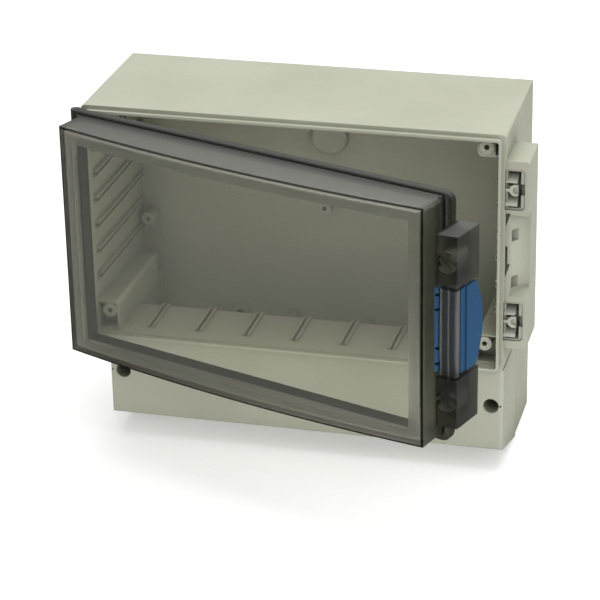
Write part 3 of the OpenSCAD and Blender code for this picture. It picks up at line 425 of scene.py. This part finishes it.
# The lock heads' edges are painted as dark lines too, a painted shade.
painted_edge_shade(lock_smoke, LOCK_TINT, 0.5)
print("smoked", lid_smoke.name, lock_smoke.name)

# %% [markdown]
# ## Plated steel
# Pins, screws and retainers are zinc plated steel. The moulded peel, much finer and with a quick
# drift, stands for the slight mottle of the plating.

# %% Make the plated steel
STEEL_DARK = (0.50, 0.50, 0.52, 1)
STEEL_LIGHT = (0.66, 0.66, 0.66, 1)
pin_steel = bpy.data.materials.new("pin steel")
pin_steel.use_nodes = True
steel_tree = pin_steel.node_tree
steel_shader = steel_tree.nodes["Principled BSDF"]
mottle = use_group(steel_tree, peel_group, {"Grain": 3200.0, "Drift": 160.0})
steel_shade = place(steel_tree, "ShaderNodeMix",
                    {"Factor": mottle.outputs["Tone"], 6: STEEL_DARK, 7: STEEL_LIGHT},
                    data_type="RGBA")
steel_gloss = place(steel_tree, "ShaderNodeMapRange",
                    {"Value": mottle.outputs["Height"], "To Min": 0.22, "To Max": 0.4})
steel_tree.links.new(steel_shade.outputs[2], steel_shader.inputs["Base Color"])
steel_tree.links.new(steel_gloss.outputs["Result"], steel_shader.inputs["Roughness"])
steel_shader.inputs["Metallic"].default_value = 1.0
print("steel", pin_steel.name)

# %% [markdown]
# ## Dress the nodes
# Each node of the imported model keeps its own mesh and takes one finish.

# %% Give every node its finish
dressing = {
    "base_shell": box_grey,
    "terminal_cover": box_grey,
    "lid_window": lid_smoke,
    "latch_handle": latch_blue,
    "cover_gasket": seal_grey,
    "lid_gasket": seal_black,
    "cover_washers": seal_black,
    "cover_screws": pin_steel,
    "latch_pin": pin_steel,
}
for side in ("upper", "lower"):
    dressing["lock_clip_" + side] = clip_grey
    dressing["hinge_pin_" + side] = pin_steel
    dressing["lock_screw_" + side] = lock_smoke
    dressing["lock_ring_" + side] = seal_black
    dressing["lock_retainer_" + side] = pin_steel
for name, finish in dressing.items():
    for slot in nodes[name].material_slots:
        slot.material = finish
print("dressed", len(dressing), "of", len(nodes), "nodes")

# %% [markdown]
# ## Bow the window
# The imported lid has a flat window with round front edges. The real window bows forward a little in
# its middle, and its front edges are sharp. So a copy of the lid is cut into narrow strips, its
# front edges are drawn in to a small radius, and every point is moved forward along a parabola
# that fades out down the skirts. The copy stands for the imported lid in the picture.

# %% Bow a copy of the lid
WINDOW_FRONT = 0.023
SKIRT_ROOT = 0.008
SKIRT_END = 0.0195
HOUSING_START = 0.2445
PACKED_EDGE = 0.0026
SEEN_EDGE = 0.0008
STRIPS = 24


def drawn_in(offset, half):
    inset = half - abs(offset)
    if inset < PACKED_EDGE:
        inset *= SEEN_EDGE / PACKED_EDGE
    return copysign(half - inset, offset)


def bowed_place(spot):
    arm = spot - HINGE
    along_u, along_w, height = arm.dot(ALONG_LID), arm.dot(OUT_OF_LID), arm.z
    if along_u > HOUSING_START:
        return spot
    share = min(max((along_w - SKIRT_ROOT) / (SKIRT_END - SKIRT_ROOT), 0.0), 1.0)
    if along_w > WINDOW_FRONT - PACKED_EDGE:
        along_u = WINDOW_MIDDLE[0] + drawn_in(along_u - WINDOW_MIDDLE[0], WINDOW_HALF[0])
        height = WINDOW_MIDDLE[1] + drawn_in(height - WINDOW_MIDDLE[1], WINDOW_HALF[1])
        along_w = WINDOW_FRONT - (WINDOW_FRONT - along_w) * SEEN_EDGE / PACKED_EDGE
    part = (along_u - WINDOW_MIDDLE[0]) / WINDOW_HALF[0]
    along_w += share * WINDOW_BOW * max(1 - part * part, 0.0)
    return HINGE + ALONG_LID * along_u + OUT_OF_LID * along_w + Vector((0, 0, height))


lid_mesh = nodes["lid_window"].data.copy()
lid_shape = bmesh.new()
lid_shape.from_mesh(lid_mesh)
for k in range(1, STRIPS):
    cut = WINDOW_MIDDLE[0] + WINDOW_HALF[0] * (2 * k / STRIPS - 1)
    bmesh.ops.bisect_plane(
        lid_shape, geom=lid_shape.verts[:] + lid_shape.edges[:] + lid_shape.faces[:], dist=1e-7,
        plane_co=HINGE + ALONG_LID * cut, plane_no=ALONG_LID)
for vert in lid_shape.verts:
    vert.co = bowed_place(vert.co)
lid_shape.to_mesh(lid_mesh)
lid_shape.free()
lid_mesh.materials.clear()
lid_mesh.materials.append(lid_smoke)
for face in lid_mesh.polygons:
    face.use_smooth = True
    face.material_index = 0
bowed_lid = bpy.data.objects.new("bowed_lid", lid_mesh)
bpy.context.scene.collection.objects.link(bowed_lid)
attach(bowed_lid, "lid")
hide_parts("lid_window")
print("bowed lid", len(lid_mesh.polygons), "faces", len(lid_mesh.vertices), "points")

# %% [markdown]
# ## Films in the wall holes
# The two lower wall holes are still closed by the thin film that is knocked out when the box is
# hung, so no light comes through them. Each film is turned from a short profile: a flat middle
# and a raised ring where it tears.


# %% Turn the knock-out films
def turned_disc(title, middle, profile, turns=32):
    mesh = bpy.data.meshes.new(title)
    points = []
    for radius, depth in profile:
        for k in range(turns):
            angle = 2 * pi * k / turns
            points.append((middle[0] + radius * cos(angle), middle[1] - depth,
                           middle[2] + radius * sin(angle)))
    faces = []
    for ring in range(len(profile) - 1):
        for k in range(turns):
            n = (k + 1) % turns
            a, b = ring * turns, (ring + 1) * turns
            faces.append((a + k, b + k, b + n, a + n))
    faces.append(tuple(range(turns))[::-1])
    faces.append(tuple(range((len(profile) - 1) * turns, len(profile) * turns)))
    mesh.from_pydata(points, [], faces)
    piece = bpy.data.objects.new(title, mesh)
    bpy.context.scene.collection.objects.link(piece)
    return piece


MM = 0.001
WALL_HOLE = (57.5 * MM, -58.75 * MM)
film_profile = [(1.2 * MM, 0.2 * MM), (2.48 * MM, 0.2 * MM), (2.48 * MM, 0.9 * MM),
                (2.2 * MM, 1.1 * MM), (1.9 * MM, 0.8 * MM), (1.2 * MM, 0.8 * MM)]
for side, name in ((-1, "film_left"), (1, "film_right")):
    film = turned_disc(name, (side * WALL_HOLE[0], 0, WALL_HOLE[1]), film_profile)
    film.data.materials.append(box_grey)
    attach(film, "base")
print("films", [round(2000 * film_profile[1][0], 2), "mm across"])

# %% [markdown]
# ## Stage and light
# A pale floor under the box, one wide soft light above, a weaker one from the right, a fill from
# the front and a dim sky. Mirror rays don't see the floor, so the smoked window stays dark as in
# a studio with black cards in front.

# %% Build the floor and the lights
FLOOR_HALF = 4.0
FLOOR_GAP = 0.0003
BOX_MIDDLE = (0, -0.05, 0)

floor_mesh = bpy.data.meshes.new("floor")
floor_corners = [(x * FLOOR_HALF, y * FLOOR_HALF, 0) for x, y in ((-1, -1), (1, -1), (1, 1), (-1, 1))]
floor_mesh.from_pydata(floor_corners, [], [(0, 1, 2, 3)])
floor = bpy.data.objects.new("floor", floor_mesh)
floor.location.z = cad_low.z - FLOOR_GAP
floor.visible_glossy = False
bpy.context.scene.collection.objects.link(floor)
floor_white = bpy.data.materials.new("floor white")
floor_white.use_nodes = True
floor_shader = floor_white.node_tree.nodes["Principled BSDF"]
floor_shader.inputs["Base Color"].default_value = (0.95, 0.95, 0.95, 1)
floor_shader.inputs["Roughness"].default_value = 0.9
floor_shader.inputs["Emission Color"].default_value = (1, 1, 1, 1)
floor_shader.inputs["Emission Strength"].default_value = 0.35
floor_mesh.materials.append(floor_white)


def soft_light(title, place_at, size, power):
    lamp = bpy.data.lights.new(title, "AREA")
    lamp.size = size
    lamp.energy = power
    holder = bpy.data.objects.new(title, lamp)
    holder.location = place_at
    beam = Vector(BOX_MIDDLE) - Vector(place_at)
    holder.rotation_euler = beam.to_track_quat("-Z", "Y").to_euler()
    bpy.context.scene.collection.objects.link(holder)


soft_light("top light", (0.1, 0.1, 1.5), size=1.6, power=18)
soft_light("right light", (1.6, -0.5, 0.7), size=1.0, power=3.5)
soft_light("front fill", (0.6, -1.4, 1.3), size=1.2, power=7.5)
sky = bpy.data.worlds.new("soft sky")
sky.use_nodes = True
bpy.context.scene.world = sky
sky_tree = sky.node_tree
sky_at = place(sky_tree, "ShaderNodeTexCoord")
sky_split = place(sky_tree, "ShaderNodeSeparateXYZ", {"Vector": sky_at.outputs["Generated"]})
sky_ramp = place(sky_tree, "ShaderNodeMapRange",
                 {"Value": sky_split.outputs["Z"], "From Min": -0.1, "From Max": 0.6, "To Min": 0.08,
                  "To Max": 0.4})
sky_shader = sky_tree.nodes["Background"]
sky_tree.links.new(sky_ramp.outputs["Result"], sky_shader.inputs["Strength"])
sky_shader.inputs["Color"].default_value = (1, 1, 1, 1)
bpy.context.scene.view_settings.view_transform = "Standard"
print("floor at", round(1000 * floor.location.z, 1), "mm")
